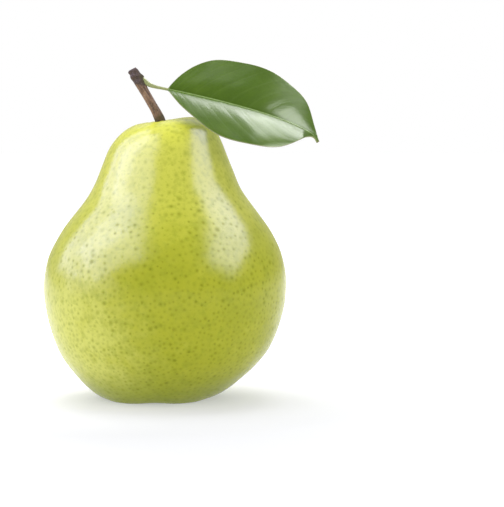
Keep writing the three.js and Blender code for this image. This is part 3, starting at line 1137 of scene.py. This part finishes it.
@dataclass(frozen=True)
class Leaf:
    """One leaf on a thin stalk: V-folded along its midrib, drooping at its margins, hooked at its tip."""

    # Place and radius of the stalk, from inside the stem's flank to the blade.
    stalk_rows: Rows = (
        (-7.6, -0.3, 105.6, 0.25), (-6.9, -0.4, 104.6, 0.72), (-5.9, -0.5, 103.5, 0.86),
        (-4.6, -0.7, 102.6, 0.70), (-2.7, -1.0, 102.1, 0.54), (-0.8, -1.4, 101.7, 0.46),
        (1.2, -2.0, 101.3, 0.42),
    )
    # Place of the midrib, and half widths of the upper and the lower half, from the stalk to the tip.
    blade_rows: Rows = (
        (1.2, -2.0, 101.3, 0.5, 0.5), (2.6, -2.5, 101.1, 5.0, 2.2), (6.0, -3.5, 100.4, 11.1, 5.6),
        (10.8, -4.7, 99.3, 14.3, 10.2), (16.9, -5.7, 97.9, 15.9, 14.8), (23.8, -6.3, 96.1, 16.9, 17.0),
        (30.6, -6.2, 94.2, 16.3, 17.2), (36.9, -5.4, 92.1, 15.1, 15.0), (42.2, -3.9, 90.0, 12.8, 9.6),
        (45.9, -2.3, 88.2, 9.6, 3.8), (48.3, -1.1, 86.8, 2.8, 0.6), (49.5, -0.4, 85.6, 0.5, 0.5),
        (50.3, 0.2, 84.1, 0.45, 0.45),
    )
    stalk_steps: int = 44
    blade_steps: int = 210
    columns: int = 97
    half_thickness: float = 0.17
    faces_up: float = math.radians(44)
    rise: float = 0.36
    droop: float = 0.24
    straight_from: float = 0.5
    lower_cup: float = 0.45
    tip_opens: Span = (0.72, 0.88)
    tip_falls: float = 0.5
    wave_heights: Span = (0.24, 0.4)  # upper and lower half
    wave_count: float = 4.5
    veins: float = 13.0
    vein_sweep: float = 0.20
    quilting: float = 0.030
    feathering: float = 0.008
    feathers: float = 2.6  # fine ripples from one vein to the next
    groove: float = 0.11
    groove_width: float = 0.55
    keel: float = 0.55
    keel_width: float = 0.6
    rib: float = 0.10  # how far a vein stands out below
    rib_width: float = 0.06  # of the way from one vein to the next

    def build(self, move: Array) -> bpy.types.Object:
        """Makes the stalk and the blade as one skin.

        Across the leaf, column c runs from 1 at the upper margin to -1 at the lower one. A point is
        midrib + across * width c + out * (lift +- half), where the lift is that of the fold and of the
        quilting, less the groove along the midrib. Below, the midrib stands out as a keel and the veins
        as ribs.

        Args:
            move: From the pear's axis to the part's frame, in millimetres.

        Returns:
            The object, without a material.
        """
        stalk = spline(self.stalk_rows, even_places(self.stalk_rows, self.stalk_steps, 3))[:-1]
        share = even_places(self.blade_rows, self.blade_steps, 3)
        blade = spline(self.blade_rows, share)
        centres = np.vstack([stalk[:, :3], blade[:, :3]])
        along = headings(centres)
        facing = np.array([0.0, -math.cos(self.faces_up), math.sin(self.faces_up)])
        out = facing - (along @ facing)[:, None] * along
        out /= np.linalg.norm(out, axis=1, keepdims=True)
        across = np.cross(out, along)

        step = np.linspace(1, -1, self.columns)
        column = step - 0.12 * np.sin(2 * math.pi * step)
        share = np.concatenate([np.zeros(len(stalk)), share])[:, None]
        upper = np.concatenate([stalk[:, 3], blade[:, 3]])[:, None]
        lower = np.concatenate([stalk[:, 3], blade[:, 4]])[:, None]
        width = np.where(column > 0, upper, lower)
        reach = width * column
        leafy = ease(share, 0.0, 0.06)
        swept = share - self.vein_sweep * np.abs(column) ** 1.3
        phase = self.veins * swept + np.where(column < 0, 0.5, 0)
        calm = leafy * (1 - np.abs(column) ** 4) * ease(np.abs(reach), 0.3, 3.0)
        groove = self.groove * leafy * (1 - 0.6 * share) * bell(reach, 0, self.groove_width)
        lift = self._folded(share, column, width) + self._quilted(phase, calm) - groove

        stalk_half = np.concatenate([stalk[:, 3], np.full(len(blade), stalk[-1, 3])])[:, None]
        half = stalk_half + (self.half_thickness - stalk_half) * ease(share, 0.0, 0.05)
        above = half * rounded(column, 2 + 8 * leafy)
        keel = self.keel * leafy * (1 - 0.85 * share) * bell(reach, 0, self.keel_width)
        ribs = self.rib * calm * bell(np.abs(phase % 1 - 0.5), 0.5, self.rib_width)
        rings = bands(centres, across, out, (reach, lift, above, above + keel + ribs))
        made = skin_object("leaf_blade", [(rings + move) * MM])
        from_margin = width * (1 - np.abs(column)) + 10 * (1 - leafy)
        marks = {"across": reach, "along": share + 0 * reach, "vein": phase, "margin": from_margin}
        self._mark(made, marks)
        LOG.info("leaf blade: %d faces", len(made.data.polygons))
        return made

    def _folded(self, share: Array, column: Array, width: Array) -> Array:
        """Lift of the blade's large form: width (rise |c| - droop c^2) + wave c^2.

        The upper half runs straight on past its middle, and the lower half is cupped deeper at the
        base and folds flat at the tip.

        Args:
            share: Way along the blade, 0 on the stalk, of shape (rings, 1).
            column: Place across, from 1 to -1.
            width: Half width at each point.

        Returns:
            Millimetres towards the upper face.
        """
        ends = (2 * share - 1) ** 2
        opened = ease(share, *self.tip_opens)
        cup = self.rise + (column < 0) * (self.lower_cup * ends * (1 - opened) - self.tip_falls * opened)
        straight = np.maximum(0, column - self.straight_from)
        droop = self.droop * (column**2 - straight**2)
        swing = (1 - ends) * np.sin(2 * math.pi * self.wave_count * share)
        wave = np.where(column > 0, *self.wave_heights) * swing
        return (width * (cup * np.abs(column) - droop) + wave * column**2) * (share > 0)

    def _quilted(self, phase: Array, calm: Array) -> Array:
        """Lift between the veins: a swell (1 - cos(2 pi phase)) / 2, with fine uneven ripples on it.

        Args:
            phase: Veins passed on the way along the blade, whole numbers on a vein.
            calm: 1 on the blade, fading to 0 at the margin, the midrib and the stalk.

        Returns:
            Millimetres towards the upper face.
        """
        swell = self.quilting * calm * (0.5 - np.cos(2 * math.pi * phase) / 2)
        feathers = self.feathers * phase + 0.7 * np.sin(3 * phase)
        return swell + self.feathering * calm * np.cos(2 * math.pi * feathers)

    def _mark(self, made: bpy.types.Object, marks: dict[str, Array]) -> None:
        """Stores the finish's guides on both faces of the leaf, and which faces look down.

        Args:
            made: The leaf.
            marks: Values of the upper face by name, each of shape (rings, columns).
        """
        for name, values in marks.items():
            put_values(made, name, with_ends(np.concatenate([values, values[:, ::-1]], axis=1)))
        facing_down = np.zeros((len(marks["across"]) - 1, 2 * self.columns))
        facing_down[:, self.columns - 1: -1] = 1
        on_fans = np.zeros(2 * 2 * self.columns)
        put_values(made, "underside", np.concatenate([facing_down.ravel(), on_fans]), on_faces=True)


# ---- The calyx


@dataclass(frozen=True)
class Calyx:
    """Five dried sepals that curl out of the basin, round a tuft of withered stamens."""

    centre: float = -3.0
    # Distance out from the tube, height and half width of a sepal.
    sepal_rows: Rows = (
        (1.6, 7.0, 0.9), (2.1, 5.9, 1.35), (3.0, 4.8, 1.5),
        (4.4, 3.6, 1.3), (5.6, 2.4, 0.85), (6.1, 1.3, 0.2),
    )
    mouth_height: float = 6.0
    sepals: int = 5
    azimuth: float = math.radians(-54)
    half_thickness: float = 0.16
    steps: int = 48
    columns: int = 17
    curl: float = 0.45
    stamens: int = 16
    seed: int = 4

    def sepal(self, number: int) -> Array:
        """One sepal: a band along its spline, lifted by curl c^2 and by ripples, with c across it.

        Args:
            number: Which sepal, from 0.

        Returns:
            Its rings, in millimetres from the middle of the tube.
        """
        random = np.random.default_rng(self.seed + number)
        azimuth = self.azimuth + number * 2 * math.pi / self.sepals + random.uniform(-0.12, 0.12)
        rows = spline(self.sepal_rows, np.linspace(0, 1, self.steps))
        outward = np.array([math.cos(azimuth), math.sin(azimuth), 0.0])
        across = np.cross([0.0, 0.0, 1.0], outward)
        drift = random.uniform(-0.5, 0.5) * np.linspace(0, 1, self.steps) ** 2
        centres = rows[:, :1] * outward + drift[:, None] * across
        centres[:, 2] = rows[:, 1]
        out = np.cross(np.tile(across, (self.steps, 1)), headings(centres))
        column = np.linspace(1, -1, self.columns)
        reach = rows[:, 2:] * column
        flat = 0 * reach
        wrinkle = Ripples(50 + number, 1.5).at(np.stack([reach, rows[:, :1] + flat, flat], axis=-1))
        lift = self.curl * column**2 * np.linspace(0.4, 1, self.steps)[:, None] + 0.10 * wrinkle
        half = self.half_thickness * rounded(column, np.full((self.steps, 1), 4.0))
        return bands(centres, np.tile(across, (self.steps, 1)), out, (reach, lift, half, half))

    def stamen(self, number: int) -> Array:
        """One withered stamen: a thread bent by sway sin(pi share), which ends in a small lump.

        Args:
            number: Which stamen, from 0.

        Returns:
            Its rings, in millimetres from the middle of the tube.
        """
        random = np.random.default_rng(100 + self.seed + number)
        azimuth, spread = random.uniform(0, 2 * math.pi), random.uniform(0.2, 1.5)
        base = np.array([0.6 * math.cos(azimuth), 0.6 * math.sin(azimuth), 8.6])
        tip = np.array([spread * math.cos(azimuth), spread * math.sin(azimuth), random.uniform(3.4, 5.0)])
        share = np.linspace(0, 1, 24)[:, None]
        sway = random.normal(0, 0.25, 3) * np.sin(math.pi * share)
        centres = base + (tip - base) * share + sway
        along = headings(centres)
        side = np.cross(along, [1.0, 0.0, 0.0])
        side /= np.linalg.norm(side, axis=1, keepdims=True)
        up = np.cross(along, side)
        lump = 0.11 + 0.15 * bell(share, 0.93, 0.06) - 0.09 * (share > 0.99)
        angle = turns(8)
        ring = side[:, None] * np.cos(angle)[:, None] + up[:, None] * np.sin(angle)[:, None]
        return centres[:, None] + ring * lump[:, None]

    def plug(self) -> Array:
        """The shrunken flower in the tube: level rings drawn in to a ragged dome at the bottom.

        Returns:
            Its rings, in millimetres from the middle of the tube.
        """
        share = np.linspace(0, 1, 20)
        angle = turns(40)
        radius = 2.3 * np.sqrt(np.clip(1 - (1 - share) ** 2, 0.0, 1)) + 0.02
        rings = level_rings(np.zeros_like(share), radius, 6.6 + 2.6 * share**1.5, angle)
        ragged = Ripples(71, 1.1).at(rings)[..., None] * np.array([0.1, 0.1, 0.35])
        return rings + ragged * (1 - share[:, None, None])

    def build(self, move: Array) -> bpy.types.Object:
        """Makes the calyx, in one mesh.

        Args:
            move: From the pear's axis to the part's frame, in millimetres.

        Returns:
            The object, without a material.
        """
        parts = [self.plug()]
        parts += [self.sepal(number) for number in range(self.sepals)]
        parts += [self.stamen(number) for number in range(self.stamens)]
        place = move + np.array([self.centre, 0.0, 0.0])
        made = skin_object("dried_calyx", [(part + place) * MM for part in parts])
        LOG.info("dried calyx: %d faces", len(made.data.polygons))
        return made


# ---- The studio

COOL = (0.59, 0.565, 1.0)  # the skin's softboxes, bluer than the light that fills the room


class Seen(Enum):
    """What a softbox adds: gloss on all but the leaf, gloss on the leaf, or soft light on everything."""

    GLOSS = "gloss"
    LEAF_GLOSS = "leaf gloss"
    SOFT = "soft"


@dataclass(frozen=True)
class Softbox:
    """A rectangular diffused lamp on a sphere round the pear."""

    name: str
    azimuth: float  # degrees from the front, towards +X
    elevation: float
    width: float  # metres
    height: float
    radiance: float
    seen: Seen = Seen.GLOSS
    distance: float = 0.8
    roll: float = 0.0  # degrees about the way it faces

    def place(
        self,
        target: Vector,
        all_but_leaf: bpy.types.Collection,
        leaf: bpy.types.Collection,
    ) -> None:
        """Hangs the lamp so that it faces the target.

        Args:
            target: What the lamp faces.
            all_but_leaf: Pieces that the lamps for the skin's gloss shine on, past the leaf.
            leaf: The leaf, for the lamps of its own.
        """
        around, above = math.radians(self.azimuth), math.radians(self.elevation)
        level = math.cos(above)
        away = Vector((math.sin(around) * level, -math.cos(around) * level, math.sin(above)))
        lamp = bpy.data.lights.new(self.name, "AREA")
        lamp.shape = "RECTANGLE"
        lamp.size = self.width
        lamp.size_y = self.height
        lamp.energy = self.radiance * math.pi * self.width * self.height
        lamp.color = COOL if self.seen is Seen.GLOSS else (1.0, 1.0, 1.0)
        holder = bpy.data.objects.new(self.name, lamp)
        holder.location = target + away * self.distance
        turn = Quaternion((0.0, 0.0, 1.0), math.radians(self.roll))
        holder.rotation_euler = ((-away).to_track_quat("-Z", "Y") @ turn).to_euler()
        holder.visible_camera = False
        holder.visible_diffuse = self.seen is Seen.SOFT
        holder.visible_glossy = self.seen is not Seen.SOFT
        if self.seen is Seen.GLOSS:
            holder.light_linking.receiver_collection = all_but_leaf
            holder.light_linking.blocker_collection = all_but_leaf
        elif self.seen is Seen.LEAF_GLOSS:
            holder.light_linking.receiver_collection = leaf
        bpy.context.scene.collection.objects.link(holder)


@dataclass(frozen=True)
class Studio:
    """Pale floor, even white surroundings and softboxes."""

    surroundings: float = 1.0
    gloss_dimming: float = 0.5  # how much darker the surroundings are in reflections
    target_height: float = 0.05  # metres
    floor_size: float = 6.0
    finish: PaleFloor = PaleFloor()
    softboxes: tuple[Softbox, ...] = (
        Softbox("left_front_softbox", -64, 41, 0.77, 0.88, 9.7, roll=-36.0),
        Softbox("left_side_softbox", -99, 37, 0.72, 0.92, 7.0),
        Softbox("left_low_softbox", -73, 4, 0.90, 0.24, 3.3),
        Softbox("right_softbox", 84, 39, 0.43, 0.84, 10.8, roll=-54.0),
        Softbox("back_softbox", 180, 48, 0.60, 0.50, 0.8),
        Softbox("leaf_right_softbox", 117, 54, 0.40, 0.46, 13.5, Seen.LEAF_GLOSS),
        Softbox("leaf_back_softbox", 155, 50, 0.30, 0.50, 7.5, Seen.LEAF_GLOSS),
        Softbox("leaf_front_softbox", 62, 33, 0.42, 0.34, 20.5, Seen.LEAF_GLOSS),
        Softbox("leaf_ceiling_softbox", 180, 74, 0.34, 0.42, 1.7, Seen.LEAF_GLOSS),
        Softbox("leaf_top_softbox", 0, 76, 0.30, 0.15, 3.2, Seen.LEAF_GLOSS),
        Softbox("back_fill", 180, 34, 1.10, 0.60, 2.2, Seen.SOFT, 1.0),
        Softbox("top_fill", 180, 78, 0.60, 0.60, 4.4, Seen.SOFT, 1.0),
        Softbox("left_fill", -92, 4, 1.10, 0.16, 1.0, Seen.SOFT),
    )

    def build(self, move: Array, leaf: bpy.types.Object) -> None:
        """Makes the floor, the surroundings and the lamps.

        Args:
            move: From the pear's axis to the part's frame, in millimetres.
            leaf: The leaf, which has gloss lamps of its own and takes none from the skin below it.
        """
        self._lay_floor()
        self._light_surroundings()
        bpy.context.scene.view_settings.view_transform = "Standard"
        all_but_leaf = self._linked("all_but_leaf", leaf, "EXCLUDE")
        only_leaf = self._linked("only_leaf", leaf, "INCLUDE")
        target = Vector((move[0] * MM, 0.0, self.target_height))
        for softbox in self.softboxes:
            softbox.place(target, all_but_leaf, only_leaf)
            LOG.info("softbox: %s", softbox.name)

    def _lay_floor(self) -> None:
        """Makes the floor, a plain square."""
        half = self.floor_size / 2
        mesh = bpy.data.meshes.new("floor")
        square = [(-half, -half, 0), (half, -half, 0), (half, half, 0), (-half, half, 0)]
        mesh.from_pydata(square, [], [(0, 1, 2, 3)])
        floor = bpy.data.objects.new("floor", mesh)
        bpy.context.scene.collection.objects.link(floor)
        mesh.materials.append(self.finish.made())

    def _light_surroundings(self) -> None:
        """Makes the white surroundings, which shine less in reflections than on what they light."""
        world = bpy.data.worlds.new("white_surroundings")
        world.use_nodes = True
        nodes, links = world.node_tree.nodes, world.node_tree.links
        nodes["Background"].inputs["Color"].default_value = (1, 1, 1, 1)
        ray = nodes.new("ShaderNodeLightPath")
        strength = nodes.new("ShaderNodeMath")
        strength.operation = "MULTIPLY_ADD"
        links.new(ray.outputs["Is Glossy Ray"], strength.inputs[0])
        strength.inputs[1].default_value = -self.gloss_dimming
        strength.inputs[2].default_value = self.surroundings
        links.new(strength.outputs[0], nodes["Background"].inputs["Strength"])
        bpy.context.scene.world = world

    def _linked(self, name: str, piece: bpy.types.Object, state: str) -> bpy.types.Collection:
        """A list of pieces for lamps that holds one piece or leaves it out.

        Args:
            name: Name of the list.
            piece: The piece.
            state: INCLUDE for that piece alone, or EXCLUDE for all pieces but that one.

        Returns:
            The list.
        """
        group = bpy.data.collections.new(name)
        group.objects.link(piece)
        group.collection_objects[0].light_linking.link_state = state
        return group


@dataclass(frozen=True)
class Viewpoint:
    """The camera: a long lens a little above level, aimed beside the pear's axis."""

    beside: float = 28.62  # what it is aimed at, towards +X from the axis
    height: float = 47.5
    distance: float = 700.0
    elevation: float = math.radians(4.2)
    sensor: float = 36.0
    long_side: int = 507
    millimetres_per_pixel: float = 0.329

    def build(self, move: Array) -> None:
        """Makes the scene's camera.

        Args:
            move: From the pear's axis to the part's frame, in millimetres.
        """
        camera = bpy.data.cameras.new("camera")
        camera.sensor_width = self.sensor
        camera.lens = self.sensor * self.distance / self.millimetres_per_pixel / self.long_side
        camera.clip_end = 50.0
        holder = bpy.data.objects.new("camera", camera)
        away = Vector((0.0, -math.cos(self.elevation), math.sin(self.elevation))) * self.distance
        aim = Vector((self.beside, 0.0, self.height)) + Vector(move)
        holder.location = (aim + away) * MM
        holder.rotation_euler = (math.pi / 2 - self.elevation, 0.0, 0.0)
        bpy.context.scene.collection.objects.link(holder)
        bpy.context.scene.camera = holder


# ---- The part


def dress(piece: bpy.types.Object, material: bpy.types.Material, node: str) -> None:
    """Gives a piece its material and puts it in place of its solid.

    Args:
        piece: The finished piece.
        material: Its material.
        node: The solid that it replaces.
    """
    piece.data.materials.append(material)
    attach(piece, "root")
    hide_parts(node)
    LOG.info("%s stands for %s", piece.name, node)


def main() -> None:
    """Loads the frame, builds every piece over it, and adds the studio and the camera."""
    logging.basicConfig(level=logging.INFO, format="%(name)s: %(message)s")
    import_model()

    fruit, stem, leaf, calyx = Fruit(), Stem(), Leaf(), Calyx()
    lowest_x = float(fruit.outside()[..., 0].min())
    move = np.array([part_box("fruit")[0].x / MM - lowest_x, 0.0, 0.0])
    LOG.info("the pear's axis is at x = %.3f mm", move[0])

    beside, height = stem.skin_place
    foot = Vector((move[0] + beside, 0.0, height)) * MM
    basin = Vector((move[0] + calyx.centre, 0.0, calyx.mouth_height)) * MM
    dress(fruit.build(stem, move), PearSkin().made(foot, basin), "fruit")
    dress(stem.build(move), Bark().made(), "stem")
    blade = leaf.build(move)
    dress(blade, LeafGreen().made(), "leaf")
    dress(calyx.build(move), DriedFlower().made(), "calyx")

    Studio().build(move, blade)
    Viewpoint().build(move)


if __name__ == "__main__":
    main()
